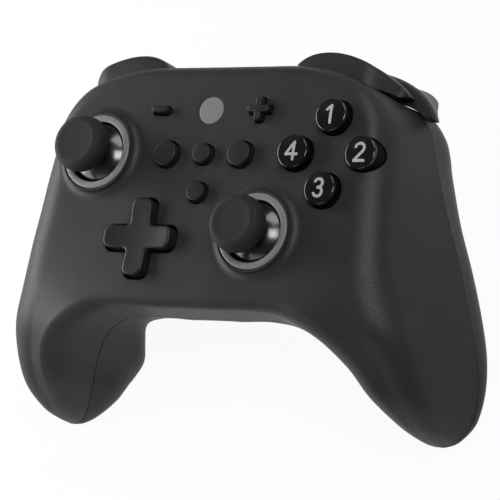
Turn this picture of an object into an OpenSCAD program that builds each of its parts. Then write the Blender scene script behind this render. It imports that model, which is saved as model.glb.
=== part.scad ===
// Two-handed game controller with two thumb sticks, a direction pad, four face buttons,
// six system buttons, two bumpers, two triggers and two rumble motors.
// The controller lies on its back: the face looks up along +Z, the shoulder buttons point along +Y
// and the player's right hand is at +X. z = 0 is the surface it rests on, and x = 0 is the mid plane.
// Inside the modules heights are counted from the face plane, which is face_h above the table.

/* [Body] */
// Height of the face plane above the table
face_h = 50; // [49:0.5:52]
// Width across the seam at the widest part of the grips
body_w = 151; // [147:1:155]
// Wall thickness of both shells
wall = 2; // [1.7:0.1:2.2]
// Open seam between the two shells
seam = 0.3; // [0.2:0.05:0.5]

/* [Sticks] */
// Left stick centre, sideways
stick_lx = -37.4; // [-38:0.1:-37]
// Left stick centre, up the face
stick_ly = -1; // [-2:0.5:0]
// Right stick centre, sideways
stick_rx = 20.9; // [20.4:0.1:21.4]
// Right stick centre, up the face
stick_ry = -24.3; // [-25.3:0.5:-23.3]
// Height of the raised collar round a stick
collar_h = 2.2; // [1.8:0.1:2.6]
// Radius of the collar at its foot
collar_r = 14.7; // [14:0.1:15.5]
// Outer radius of the trim ring on the collar
ring_r = 11.2; // [10.8:0.1:11.6]
// Width of the trim ring
ring_w = 2; // [1.6:0.1:2.2]
// Radius of the thumb cap
cap_r = 8.4; // [8:0.1:9]
// Height of the thumb cap's rim above the face
cap_top = 13.5; // [13:0.1:14]
// Depth of the tilt centre below the face
pivot_d = 9; // [8.8:0.1:9.3]
// Radius of the dust dome round the tilt centre
dome_r = 13.5; // [13.3:0.1:13.6]
// Click travel of a stick
stick_press = 0.5; // [0.3:0.1:0.6]

/* [Face buttons] */
// Centre of the four face buttons, sideways
abxy_x = 41; // [40.5:0.1:41.5]
// Centre of the four face buttons, up the face
abxy_y = -1; // [-1.5:0.1:-0.5]
// Distance of a face button from that centre
abxy_s = 10.7; // [10.4:0.1:11]
// Radius of a face button
button_r = 4.9; // [4.6:0.1:5.1]
// Gap round a button in the shell
button_gap = 0.4; // [0.3:0.05:0.5]
// Height of a face button above the face
button_rise = 3.6; // [3:0.1:4]

/* [System buttons] */
// Middle of the system buttons, sideways
system_x = -1; // [-1.5:0.1:0]
// Distance of the minus and plus buttons from that middle
plus_x = 16.9; // [16.4:0.1:17.4]
// Row of the minus and plus buttons, up the face
plus_y = 12.1; // [11.6:0.1:12.6]
// Distance of the capture and home buttons from that middle
home_x = 12.6; // [12:0.1:13]
// Row of the capture, settings and home buttons, up the face
home_y = -1.2; // [-1.7:0.1:-0.7]
// Row of the extra button, up the face
extra_y = -12.6; // [-13.1:0.1:-12.1]
// Radius of the capture and home buttons
home_r = 3.75; // [3.4:0.05:4]
// Radius of the settings and extra buttons
small_r = 2.9; // [2.6:0.05:3.1]
// Height of the system buttons above the face
small_rise = 2.2; // [1.8:0.1:2.6]

/* [Direction pad] */
// Direction pad centre, sideways
pad_x = -18; // [-18.5:0.1:-17.5]
// Direction pad centre, up the face
pad_y = -26.5; // [-27:0.1:-26]
// Length across two arms
pad_span = 23; // [22:0.5:24]
// Width of an arm
pad_arm = 6.8; // [6.4:0.1:7.2]
// Height of the arms above the face
pad_rise = 2.9; // [2.5:0.1:3.2]
// Gap round the pad in the shell
pad_gap = 0.75; // [0.7:0.05:0.9]

/* [Shoulders] */
// Inner end of the shoulder openings, from the middle
shoulder_x = 21.6; // [21.2:0.1:22]
// Height of the shell left as a lip above a bumper
lip = 4.6; // [4.4:0.1:4.7]
// Lower face of a bumper below the face
bumper_low = 17; // [16.5:0.1:17]
// Trigger pin, up the body
trigger_y = 17; // [16.8:0.1:17.2]
// Trigger pin, below the face
trigger_z = 20; // [20:0.1:20.3]
// Trigger tip below the face
trigger_tip = 45; // [44:0.5:45.5]
// Radius of the trigger pins
trigger_pin_r = 1.5; // [1.3:0.1:1.6]
// Radius of the bumper pins
bumper_pin_r = 1.2; // [1:0.1:1.3]

/* [Inside] */
// Top of the main board below the face
board_z = 13.5; // [13.3:0.1:13.6]
// Thickness of the main board
board_t = 1.6; // [1.2:0.1:1.6]
// Length of the battery, across the body
battery_w = 50; // [44:1:52]
// Width of the battery, up the body
battery_l = 34; // [28:1:36]
// Thickness of the battery
battery_t = 9; // [7:0.5:10]
// Radius of a rumble motor
motor_r = 6; // [5:0.5:6]
// Outer radius of a motor's off-centre weight
weight_r = 8.5; // [7:0.5:8.5]

/* [Fits] */
// Radial running clearance of pins in their bores
run = 0.05; // [0.03:0.01:0.08]
// Clearance between a fixed piece and its seat
seat = 0.05; // [0.03:0.01:0.1]

/* [Hidden] */
$fn = 48;

// colours
shell_c = "#333331";
button_c = "#0e0e0f";
trim_c = "#8d8d89";
rubber_c = "#2b2b2a";
metal_c = "#b4b5b8";
board_c = "#1d4a2d";

// the body's width beside the 151 mm that its sections are drawn for, as a share and on each side
wide = body_w / 151;
wider = (body_w - 151) / 2;

// places of the controls on the face
left_stick = [stick_lx * wide, stick_ly];
right_stick = [stick_rx * wide, stick_ry];
sticks = [left_stick, right_stick];
pad = [pad_x * wide, pad_y];
abxy = [abxy_x + wider, abxy_y];
a_at = abxy + [abxy_s, 0];
b_at = abxy - [0, abxy_s];
x_at = abxy + [0, abxy_s];
y_at = abxy - [abxy_s, 0];
// the face falls away under the outermost face button
a_drop = 1.2;
minus_at = [system_x - plus_x * wide, plus_y];
plus_at = [system_x + plus_x * wide, plus_y];
capture_at = [system_x - home_x * wide, home_y];
home_at = [system_x + home_x * wide, home_y];
settings_at = [system_x, home_y];
extra_at = [system_x, extra_y];
disc_at = [system_x, plus_y];
disc_r = 4.1;

// heights below the face that several pieces share
flange_z = 6;
stem_z = 9.2;
key_top_z = 10.7;
board_low = board_z + board_t;
ring_in = ring_r - ring_w;
shoulder_in = shoulder_x * wide;

// screw places: board screws, and shell screws with their joint and head seat below the face
board_screw_at = [for (p = [[-27, 12.5], [25, 12.5], [0, -22], [44, -20], [-44, -20]]) [p[0] * wide, p[1]]];
shell_screw_at = [for (m = [-1, 1], p = [[13, 19, 15, 24], [54, -36, 25, 34]])
    [m * p[0] * wide, p[1], p[2], p[3]]];

// Body sections of the right half, from the mid plane round to the grip's tip. Each row has the outer
// and inner seam points, the face height at both, the face edge's lean, width and depth at both,
// the back's height above the table at both, and the back edge's lean, width and depth at both.
sections = [
    [0, 27, -15, 0, -46.2, -15, 0, 0, 0.05, 4, 4.5, 0, 3.4, 3.4,
        12, 22, 0.1, 8, 12, 0.1, 14, 11],
    [13, 27, -15, 2, -46.2, -15, 0, 0, 0.05, 4, 4.5, 0, 3.4, 3.4,
        12, 22, 0.1, 8, 12, 0.1, 14, 11],
    [26, 26.8, -15, 4, -46.2, -15, 0, 0, 0.05, 4, 4.5, 0, 3.5, 3.4,
        12, 22, 0.1, 8, 12, 0.1, 14, 11],
    [38.5, 25.2, -16.5, 6, -46.2, -15, 0, 0, 0.08, 5, 5, 0, 3.8, 3.4,
        12, 22, 0, 9, 12, 0.1, 14, 11],
    [50.2, 21.2, -19, 8, -46.2, -15, 0, 0, 0.15, 6, 5.5, 0, 4.2, 3.4,
        10, 22, -0.08, 10, 12, 0.1, 14, 11],
    [58.2, 13.8, -22, 10.5, -46.2, -15, 0, 0, 0.27, 6, 5, 0, 4.5, 3.4,
        8, 22, -0.1, 12, 13, 0.15, 14, 11],
    [61.4, 3, -25, 14, -46.1, -15, 0, 0, 0.3, 6, 5, 0, 5, 3.5,
        6, 22, -0.05, 13, 13, 0.2, 14, 11],
    [65.2, -10, -27.5, 19, -46.1, -15, 0, 0, 0.36, 8, 6.5, 0, 5.5, 4,
        4, 21, -0.05, 14, 13, 0.2, 14, 12],
    [69.8, -24, -31, 27.3, -46.8, -14.8, -0.3, -0.3, 0.4, 12, 10, 0.05, 6, 5,
        2, 16, -0.12, 14, 12, 0.05, 14, 15],
    [73.4, -37, -33.5, 34.3, -49.4, -16.8, -2, -1.2, 0.4, 14, 14, 0.1, 6, 6,
        0.5, 9, -0.2, 13, 11, -0.1, 11, 13],
    [76, -48, -36.5, 40.3, -53.6, -21, -5.5, -4, 0.38, 13, 14, 0.2, 6, 7,
        0, 2.5, -0.25, 13, 9.5, -0.2, 9.5, 11.5],
    [76.6, -57.5, -40, 46.2, -58.9, -28, -12, -10, 0.36, 11, 13, 0.15, 7, 10,
        0, 0, -0.25, 12, 7.5, -0.3, 8, 10],
    [74.6, -66, -43, 50.6, -65, -34, -20, -18, 0.3, 9, 12, 0.1, 6, 9,
        0, 0, -0.2, 9, 5.3, -0.4, 6.5, 8],
    [70.2, -71.3, -45, 55.3, -70, -40, -30, -29, 0.2, 5.5, 9, 0.05, 4.5, 7,
        1, 1, -0.1, 5.5, 3, -0.4, 4.5, 5],
    [66.6, -73.2, -45.8, 58.7, -72.5, -43.4, -37, -36.5, 0.1, 3.2, 5, 0, 3, 4.5,
        2, 2, 0, 3, 1.5, -0.2, 3, 3],
    [62.6, -74.3, -45.4, 62.6, -74.3, -45.4, -45.4, -45.4, 0, 0.1, 0.1, 0, 0.1, 0.1,
        4.6, 4.6, 0, 0.1, 0.1, 0, 0.1, 0.1]];
last = len(sections) - 1;
// steps between two sections, in a rounded edge and across the flat between the edges
steps = 2;
edge_n = 5;
flat_n = 2;
sect_n = 2 * edge_n + flat_n + 3;
// the inner skin ends this share of the way to the tip
inner_end = 0.94;

function flip(r) = [for (i = [0:len(r) - 1]) (i == 0 || i == 3) ? -r[i] : r[i]];

// rows past the ends: mirrored at the mid plane, carried straight on at the tip
function section_row(i) =
    i < 0 ? flip(sections[-i])
    : i > last ? 2 * sections[last] - sections[last - 1]
    : sections[i];

// smooth curve through the section rows
function section_at(s) =
    let (k = min(floor(s), last - 1), f = s - k)
    let (p0 = section_row(k - 1), p1 = section_row(k), p2 = section_row(k + 1), p3 = section_row(k + 2))
    0.5 * (2 * p1 + (p2 - p0) * f + (2 * p0 - 5 * p1 + 4 * p2 - p3) * f * f
        + (3 * p1 - p0 - 3 * p2 + p3) * f * f * f);

// wall that leans in by lean and then rounds into the flat with an ellipse of a by b: [inset, rise]
function edge(h, lean, a, b) =
    let (c = min(b, 0.9 * h), t = atan(lean * c / a))
    let (top = h - c + c * sin(t), in = lean * top + a * cos(t))
    [for (i = [0:edge_n]) let (q = t + (90 - t) * i / edge_n) [in - a * cos(q), h - c + c * sin(q)]];

// one section's outline on the face side (side 1) or the back side (side -1), from outer to inner seam
function outline(s, side) =
    let (r = section_at(abs(s)))
    let (o = [r[0], r[1]], n = [r[3], r[4]], w = max(norm(n - o), 0.001), d = (n - o) / w)
    let (zo = side > 0 ? r[6] : max(r[14], 0) - face_h, zi = side > 0 ? r[7] : max(r[15], 0) - face_h)
    let (j = side > 0 ? 8 : 16)
    let (e1 = edge(abs(zo - r[2]), r[j], r[j + 1], r[j + 2]))
    let (e2 = edge(abs(zi - r[5]), r[j + 3], r[j + 4], r[j + 5]))
    let (u1 = e1[edge_n][0], u2 = w - e2[edge_n][0])
    let (flat = concat(
        [[0, r[2] + side * seam / 2]],
        [for (p = e1) [p[0], r[2] + side * p[1]]],
        [for (i = [1:flat_n - 1]) let (f = i / flat_n) [u1 + (u2 - u1) * f, zo + (zi - zo) * f]],
        [for (i = [edge_n:-1:0]) [w - e2[i][0], r[5] + side * e2[i][1]]],
        [[w, r[5] + side * seam / 2]]))
    [for (p = flat) [sign(s + 0.0001) * (o[0] + d[0] * p[0]) * wide, o[1] + d[1] * p[0], p[1]]];

half_n = last * steps;
spots = [for (i = [1 - half_n:half_n - 1]) i / steps];
tip = [sections[last][0] * wide, sections[last][1], sections[last][2]];

function unit(v) = v / max(norm(v), 0.0001);

// the section moved in by a depth, square to the surface
function inset(s, side, depth) =
    let (g = outline(s, side), a = outline(s - 0.04, side), b = outline(s + 0.04, side))
    [for (j = [0:sect_n - 1])
        let (k = g[min(j + 1, sect_n - 1)] - g[max(j - 1, 0)], m = unit(cross(b[j] - a[j], k)))
        let (p = g[j] + m * depth * side)
        (j == 0 || j == sect_n - 1) ? [p[0], p[1], g[j][2]] : p];

function skin_points(side) = concat(
    [for (s = spots) each outline(s, side)],
    [for (s = spots) each inset(s * inner_end, side, wall)],
    [[-tip[0], tip[1], tip[2] + side * seam / 2], tip + [0, 0, side * seam / 2],
        [-tip[0], tip[1] + 1.5 * wall, tip[2] + side * seam / 2], tip + [0, 1.5 * wall, side * seam / 2]]);

rows_n = len(spots);
skin_n = rows_n * sect_n;
tip_i = 2 * skin_n;

function quad(a, b, c, d) = [[a, b, c], [a, c, d]];
function turned(f, side) = side < 0 ? f : [for (t = f) [t[2], t[1], t[0]]];

function skin_faces(side) = turned(concat(
    [for (i = [0:rows_n - 2], j = [0:sect_n - 2])
        each quad(i * sect_n + j, i * sect_n + j + 1, (i + 1) * sect_n + j + 1, (i + 1) * sect_n + j)],
    [for (i = [0:rows_n - 2], j = [0:sect_n - 2])
        each quad(skin_n + i * sect_n + j, skin_n + (i + 1) * sect_n + j,
            skin_n + (i + 1) * sect_n + j + 1, skin_n + i * sect_n + j + 1)],
    [for (i = [0:rows_n - 2])
        each quad(i * sect_n, (i + 1) * sect_n, skin_n + (i + 1) * sect_n, skin_n + i * sect_n)],
    [for (i = [0:rows_n - 2]) let (j = i * sect_n + sect_n - 1)
        each quad(j, skin_n + j, skin_n + j + sect_n, j + sect_n)],
    tip_fan(0, 0, true), tip_fan(rows_n - 1, 1, false)), side);

// closes the outer and inner skins and the seam faces at one grip's tip
function tip_fan(row, n, start) =
    let (a = row * sect_n, b = skin_n + row * sect_n, t = tip_i + n, u = tip_i + 2 + n, j = sect_n - 1)
    let (f = concat(
        [for (i = [0:sect_n - 2]) [t, a + i, a + i + 1]],
        [for (i = [0:sect_n - 2]) [u, b + i + 1, b + i]],
        quad(t, u, b, a), quad(t, a + j, b + j, u)))
    start ? [for (v = f) [v[2], v[1], v[0]]] : f;

// body bounded by the middle of a shell's wall and carried on past the seam, which trims posts on the wall
core_n = sect_n + 2;
past_seam = 12;

function core_row(s, side) =
    let (g = inset(s * inner_end, side, wall / 2), past = [0, 0, -side * past_seam])
    concat([g[0] + past], g, [g[sect_n - 1] + past]);

module core(side) {
    sides = [for (i = [0:rows_n - 2], j = [0:core_n - 1])
        let (a = i * core_n, b = a + core_n, m = (j + 1) % core_n)
        each quad(a + j, a + m, b + m, b + j)];
    t = (rows_n - 1) * core_n;
    ends = [for (j = [1:core_n - 2]) each [[0, j + 1, j], [t, t + j, t + j + 1]]];
    polyhedron([for (s = spots) each core_row(s, side)], turned(concat(sides, ends), side), convexity = 10);
}

module lift() {
    translate([0, 0, face_h])
        children();
}

module at(p) {
    translate([p[0], p[1], face_h])
        children();
}

// rod between two heights
module rod(r, z0, z1) {
    translate([0, 0, z0])
        cylinder(r = r, h = z1 - z0);
}

// block between two corners
module block(a, b) {
    translate(a)
        cube(b - a);
}

module left() {
    mirror([1, 0, 0])
        children();
}

module slot2d(w, h) {
    square([w - h, h], center = true);
    for (s = [-1, 1])
        translate([s * (w - h) / 2, 0])
            circle(d = h);
}

module rounded2d(w, h, r) {
    square([w - 2 * r, h], center = true);
    square([w, h - 2 * r], center = true);
    for (x = [-1, 1], y = [-1, 1])
        translate([x * (w / 2 - r), y * (h / 2 - r)])
            circle(r = r);
}

module cross2d(span, arm, r) {
    rounded2d(span, arm, r);
    rounded2d(arm, span, r);
}

// shell details

module collar() {
    top_r = ring_r + 0.6;
    curve = [for (q = [0:15:90]) [collar_r - (collar_r - top_r) * sin(q), collar_h * (1 - cos(q))]];
    rotate_extrude($fn = 96)
        polygon(concat([[ring_in - 0.7, collar_h], [ring_in - 0.7, -4], [collar_r, -4]], curve));
}

module stick_opening() {
    translate([0, 0, -pivot_d])
        sphere(r = dome_r + 0.5, $fn = 96);
    rod(ring_in + 0.4, -4, collar_h + 1);
    rod(ring_r + 0.1, collar_h - 0.6, collar_h + 1);
}

module shoulder_opening() {
    block([shoulder_in, 18.2, -face_h - 5], [body_w / 2, 60, -lip]);
}

module front_shell() {
    color(shell_c)
    difference() {
        union() {
            lift()
                polyhedron(skin_points(1), skin_faces(1), convexity = 10);
            for (p = sticks)
                at(p)
                    collar();
            for (p = board_screw_at)
                at(p)
                    rod(2.2, -board_z + seat, -wall / 2);
            intersection() {
                lift()
                    core(1);
                for (p = shell_screw_at)
                    at(p)
                        rod(3, -p[2] + seam / 2, 0);
            }
            for (m = [0, 1])
                mirror([m, 0, 0])
                    lift()
                        block([shoulder_in - wall, 18.2, -15 + seam / 2], [shoulder_in, 24.4, -wall / 2]);
        }
        for (p = sticks)
            at(p)
                stick_opening();
        for (p = [b_at, x_at, y_at, a_at])
            at(p)
                rod(button_r + button_gap, -9, 4);
        for (p = [capture_at, home_at])
            at(p)
                rod(home_r + button_gap, -5, 4);
        for (p = [settings_at, extra_at])
            at(p)
                rod(small_r + button_gap, -5, 4);
        at(minus_at)
            translate([0, 0, -5])
                linear_extrude(9)
                    slot2d(5.6 + 2 * button_gap, 2 + 2 * button_gap);
        at(plus_at)
            translate([0, 0, -5])
                linear_extrude(9)
                    cross2d(7 + 2 * button_gap, 2 + 2 * button_gap, 0.7);
        at(pad)
            translate([0, 0, -5])
                linear_extrude(9)
                    cross2d(pad_span + 2 * pad_gap, pad_arm + 2 * pad_gap, 2.4);
        at(disc_at)
            rod(disc_r + seat, -0.8, 2);
        for (p = board_screw_at)
            at(p)
                rod(0.8, -board_z - 1, -board_z + 8.5);
        for (p = shell_screw_at)
            at(p)
                rod(1.1, -p[2] - 1, -p[2] + 10);
        at([0, 30])
            translate([0, 0, -board_z + 1.65])
                rotate([90, 0, 0])
                    linear_extrude(8)
                        slot2d(9.5, 3.8);
        for (m = [0, 1])
            mirror([m, 0, 0])
                lift()
                    shoulder_opening();
    }
}

// flat battery hump that the controller rests on
hump_x = 31;
hump_y0 = -26;
hump_y1 = 17.5;

module back_shell() {
    hump_c = [0, (hump_y0 + hump_y1) / 2];
    hump_l = hump_y1 - hump_y0;
    // foot of the shoulder walls, in the back's wall
    sill = 13 - face_h;
    color(shell_c)
    union() {
        difference() {
            union() {
                lift()
                    polyhedron(skin_points(-1), skin_faces(-1), convexity = 10);
                translate(hump_c)
                    linear_extrude(face_h - 30)
                        rounded2d(2 * hump_x, hump_l, 7);
                intersection() {
                    lift()
                        core(-1);
                    union() {
                        for (p = shell_screw_at)
                            at(p)
                                rod(3.6, -face_h, -p[2] - seam / 2);
                        for (m = [0, 1])
                            mirror([m, 0, 0])
                                lift()
                                    motor_cradle();
                    }
                }
            }
            translate([hump_c[0], hump_c[1], wall])
                linear_extrude(face_h)
                    rounded2d(2 * (hump_x - wall), hump_l - 2 * wall, 5);
            for (p = shell_screw_at)
                at(p) {
                    rod(1.5, -face_h - 5, 0);
                    rod(2.9, -face_h - 5, -p[3]);
                }
            for (m = [0, 1])
                mirror([m, 0, 0])
                    lift()
                        shoulder_opening();
        }
        for (m = [0, 1])
            mirror([m, 0, 0])
                lift() {
                    block([shoulder_in - 1, 16.6, sill], [47 * wide, 18.6, -26]);
                    block([46 * wide, 16.6, sill + 6], [51.5 * wide, 18.6, -26]);
                    block([shoulder_in - wall, 18.2, sill + 4], [shoulder_in, 23.8, -15 - seam / 2]);
                    block([shoulder_in - wall, 18.2, sill], [shoulder_in, 20.5, sill + 5]);
                    for (x = [32, 42])
                        translate([x * wide, 14.5, 0])
                            rod(2, sill, -25.6 - seat);
                }
    }
}

// saddle under a rumble motor
module motor_cradle() {
    difference() {
        block([motor_x - motor_r - 1, -50, -face_h], [motor_x + motor_r + 1, -43, -motor_z]);
        translate([motor_x, -30, -motor_z])
            rotate([90, 0, 0])
                cylinder(r = motor_r + seat, h = 30);
    }
}

module face_disc() {
    color(trim_c)
    at(disc_at)
        rod(disc_r, -0.8 + seat, 0.15);
}

// thumb sticks

module stick_ring(p) {
    color(trim_c)
    at(p)
        difference() {
            rod(ring_r, collar_h - 0.6 + seat, collar_h + 0.25);
            rod(ring_in, collar_h - 1, collar_h + 1);
        }
}

module left_stick_ring() {
    stick_ring(left_stick);
}

module right_stick_ring() {
    stick_ring(right_stick);
}

post_r = 1.5;
neck_r = 2.9;
post_top = 9.5;

module stick_cap(p) {
    t = cap_top;
    c = cap_r;
    socket = post_top + stick_press + 0.1;
    color(rubber_c)
    at(p)
        rotate_extrude($fn = 96)
            polygon([[0, socket], [0, t - 0.5], [c - 3.4, t - 0.15], [c - 2.2, t], [c - 0.9, t - 0.5],
                [c - 0.2, t - 1.6], [c, t - 3.2], [c - 0.2, t - 4.8], [c - 0.9, t - 5.7], [c - 3.6, t - 6.2],
                [neck_r + 0.8, t - 6.7], [neck_r, t - 7.6], [neck_r, 0.5], [post_r + run, 0.5],
                [post_r + run, socket]]);
}

module left_stick_cap() {
    stick_cap(left_stick);
}

module right_stick_cap() {
    stick_cap(right_stick);
}

module stick_dome(p) {
    color(button_c)
    at(p)
        difference() {
            translate([0, 0, -pivot_d])
                difference() {
                    sphere(r = dome_r, $fn = 96);
                    sphere(r = dome_r - 1.2, $fn = 96);
                    translate([0, 0, dome_r / 2 - 40])
                        cylinder(r = 30, h = 40);
                }
            rod(neck_r + seat, -10, 10);
        }
}

module left_stick_dome() {
    stick_dome(left_stick);
}

module right_stick_dome() {
    stick_dome(right_stick);
}

gimbal_pin_r = 0.8;

module stick_post(p) {
    color(metal_c)
    at(p)
        translate([0, 0, -pivot_d]) {
            rod(post_r, 0, pivot_d + post_top);
            sphere(r = 2.2);
            translate([0, 4.4, 0])
                rotate([90, 0, 0])
                    cylinder(r = gimbal_pin_r, h = 8.8);
        }
}

module left_stick_post() {
    stick_post(left_stick);
}

module right_stick_post() {
    stick_post(right_stick);
}

module stick_yoke(p) {
    color(metal_c)
    at(p)
        translate([0, 0, -pivot_d])
            difference() {
                union() {
                    block([-5.7, -4.7, -1.5], [5.7, 4.7, 1.5]);
                    rotate([0, 90, 0])
                        translate([0, 0, -7.7])
                            cylinder(r = gimbal_pin_r, h = 15.4);
                }
                block([-4.2, -3.2, -3], [4.2, 3.2, 3]);
                translate([0, 10, 0])
                    rotate([90, 0, 0])
                        cylinder(r = gimbal_pin_r + run, h = 20);
            }
}

module left_stick_yoke() {
    stick_yoke(left_stick);
}

module right_stick_yoke() {
    stick_yoke(right_stick);
}

module stick_housing(p) {
    color("#9b9b98")
    at(p)
        difference() {
            block([-8, -8, -board_z + seat], [8, 8, -pivot_d + 2.2]);
            block([-6.7, -6.7, -board_z + 1.2], [6.7, 6.7, 0]);
            translate([-20, 0, -pivot_d])
                rotate([0, 90, 0])
                    cylinder(r = gimbal_pin_r + run, h = 40);
        }
}

module left_stick_housing() {
    stick_housing(left_stick);
}

module right_stick_housing() {
    stick_housing(right_stick);
}

// direction pad, rocking on a ball under its centre
pad_ball_z = 5;
pad_ball_r = 1.8;

module direction_pad() {
    color(rubber_c)
    at(pad)
        difference() {
            union() {
                translate([0, 0, -pad_ball_z])
                    linear_extrude(pad_ball_z + pad_rise)
                        cross2d(pad_span, pad_arm, 2.4);
                rod(pad_span / 2 + 2.1, -pad_ball_z - 1, -pad_ball_z + 0.5);
            }
            translate([0, 0, -pad_ball_z])
                sphere(r = pad_ball_r + 1.2);
            translate([0, 0, pad_rise + 10.6])
                sphere(r = 11.4);
        }
}

module pad_pivot_cup() {
    color(metal_c)
    at(pad)
        translate([0, 0, -pad_ball_z])
            difference() {
                sphere(r = pad_ball_r + 1.1);
                sphere(r = pad_ball_r + 0.1);
                rod(6, -6, 0.3);
            }
}

module pad_stand() {
    color(rubber_c)
    at(pad) {
        translate([0, 0, -pad_ball_z])
            sphere(r = pad_ball_r);
        rod(pad_ball_r, -board_z + seat, -pad_ball_z);
    }
}

module pad_membrane() {
    color("#6f7072")
    at(pad)
        difference() {
            union() {
                rod(13, -board_z + seat, -board_z + 0.8);
                for (q = [0:90:270])
                    rotate(q)
                        translate([9, 0, 0])
                            rod(3, -board_z + 0.4, -7.8);
            }
            rod(pad_ball_r + 0.4, -20, 0);
        }
}

// face buttons

module face_button(p, drop) {
    t = button_rise - drop;
    color(button_c)
    at(p)
        rotate_extrude($fn = 64)
            polygon([[0, t], [button_r * 0.45, t - 0.1], [button_r * 0.75, t - 0.35],
                [button_r - 0.5, t - 0.75], [button_r, t - 1.5], [button_r, -flange_z - drop],
                [button_r + 1.2, -flange_z - drop], [button_r + 1.2, -flange_z - 1 - drop],
                [button_r - 0.8, -flange_z - 1 - drop], [button_r - 0.8, -stem_z], [0, -stem_z]]);
}

// the outermost button is cut flat below the face to clear the side wall
module button_a() {
    color(button_c)
    difference() {
        face_button(a_at, a_drop);
        at(a_at)
            block([1.2, -10, -20], [10, 10, -4.8]);
    }
}

module button_b() {
    face_button(b_at, 0);
}

module button_x() {
    face_button(x_at, 0);
}

module button_y() {
    face_button(y_at, 0);
}

// rubber sheet with a key under each button
module key(p, r) {
    at(p)
        rod(r, -board_z + 0.4, -key_top_z);
}

module face_button_membrane() {
    color("#6f7072") {
        for (p = [a_at, b_at, x_at, y_at]) {
            key(p, 3.5);
            at(p)
                rod(3.9, -board_z + seat, -board_z + 0.8);
        }
        at(abxy) {
            block([-abxy_s, -3, -board_z + seat], [abxy_s, 3, -board_z + 0.8]);
            block([-3, -abxy_s, -board_z + seat], [3, abxy_s, -board_z + 0.8]);
        }
    }
}

// system buttons

module round_button(p, r) {
    t = small_rise;
    color(rubber_c)
    at(p)
        rotate_extrude($fn = 64)
            polygon([[0, t], [r - 0.7, t - 0.1], [r - 0.2, t - 0.4], [r, t - 0.9], [r, -2.6],
                [r + 0.8, -2.6], [r + 0.8, -3.6], [2.2, -3.6], [2.2, -9.6], [0, -9.6]]);
}

module button_stem(r) {
    rod(r, -3.6, -2.6);
    rod(1.8, -9.6, -3.5);
}

module button_capture() {
    round_button(capture_at, home_r);
}

module button_home() {
    round_button(home_at, home_r);
}

module button_settings() {
    round_button(settings_at, small_r);
}

module button_extra() {
    round_button(extra_at, small_r);
}

module button_minus() {
    color(rubber_c)
    at(minus_at) {
        translate([0, 0, -3])
            linear_extrude(3 + small_rise)
                slot2d(5.6, 2);
        button_stem(3.6);
    }
}

module button_plus() {
    color(rubber_c)
    at(plus_at) {
        translate([0, 0, -3])
            linear_extrude(3 + small_rise)
                cross2d(7, 2, 0.7);
        button_stem(3.9);
    }
}

module system_membrane() {
    color("#6f7072") {
        for (p = [minus_at, plus_at, capture_at, home_at, settings_at, extra_at]) {
            key(p, 1.7);
            at(p)
                rod(3, -board_z + seat, -board_z + 0.8);
        }
        lift() {
            block([capture_at[0] - 3, home_y - 3, -board_z + seat],
                [home_at[0] + 3, plus_y + 2, -board_z + 0.8]);
            block([system_x - 3, extra_y, -board_z + seat], [system_x + 3, home_y, -board_z + 0.8]);
        }
    }
}

// shoulder buttons, drawn for the right side

function bezier(p, n) = [for (i = [0:n]) let (t = i / n, q = 1 - t)
    q * q * q * p[0] + 3 * q * q * t * p[1] + 3 * q * t * t * p[2] + t * t * t * p[3]];

// body between an outer and an inner curve at each of several levels
loft_n = 10;

function backwards(p) = [for (i = [len(p) - 1:-1:0]) p[i]];

function ribbon(level) =
    [for (p = concat(bezier(level[1], loft_n), backwards(bezier(level[2], loft_n))))
        [p[0] * wide, p[1], level[0]]];

module loft(levels) {
    k = 2 * loft_n + 2;
    e = len(levels) - 1;
    sides = [for (i = [0:e - 1], j = [0:k - 1]) let (m = (j + 1) % k)
        each [[i * k + j, i * k + m, (i + 1) * k + m], [i * k + j, (i + 1) * k + m, (i + 1) * k + j]]];
    ends = [for (j = [0:loft_n - 1]) let (m = k - 1 - j, t = e * k)
        each [[j, m, j + 1], [m, m - 1, j + 1], [t + j, t + j + 1, t + m], [t + m, t + j + 1, t + m - 1]]];
    polyhedron([for (v = levels) each ribbon(v)], turned(concat(sides, ends), 1), convexity = 6);
}

bumper_hinge = [24.9 * wide, 22.8];
bumper_top = lip + 0.4;
bumper_in = [[22.2, 23.2], [27, 20.8], [44, 21.8], [52.4, 20.5]];

module bumper() {
    color(shell_c)
    at([0, 0])
        difference() {
            union() {
                loft([[-bumper_top, [[22.8, 26.4], [28.6, 33.2], [43.4, 27.8], [52.6, 20.7]], bumper_in],
                    [-bumper_top - 0.5, [[22.3, 27.3], [28.9, 34.5], [44.2, 28.7], [53.4, 20.6]], bumper_in],
                    [-bumper_top - 1.4, [[22.2, 27.6], [29, 35], [44.4, 29], [53.6, 20.5]], bumper_in],
                    [0.8 - bumper_low, [[22.2, 27.6], [29, 35.2], [44.8, 29.4], [54, 20.5]], bumper_in],
                    [-bumper_low, [[22.6, 27], [28.8, 34.2], [44.4, 28.6], [53.4, 20.6]], bumper_in]]);
                translate(bumper_hinge)
                    rod(2.6, -bumper_low, -bumper_top);
            }
            translate(bumper_hinge)
                rod(bumper_pin_r + run, -30, 0);
        }
}

module left_bumper() {
    left()
        bumper();
}

module right_bumper() {
    bumper();
}

trigger_x0 = 29.4 * wide;
trigger_x1 = 44 * wide;
trigger_hub = 3.2;
trigger_top = bumper_low + 1.2;

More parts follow.
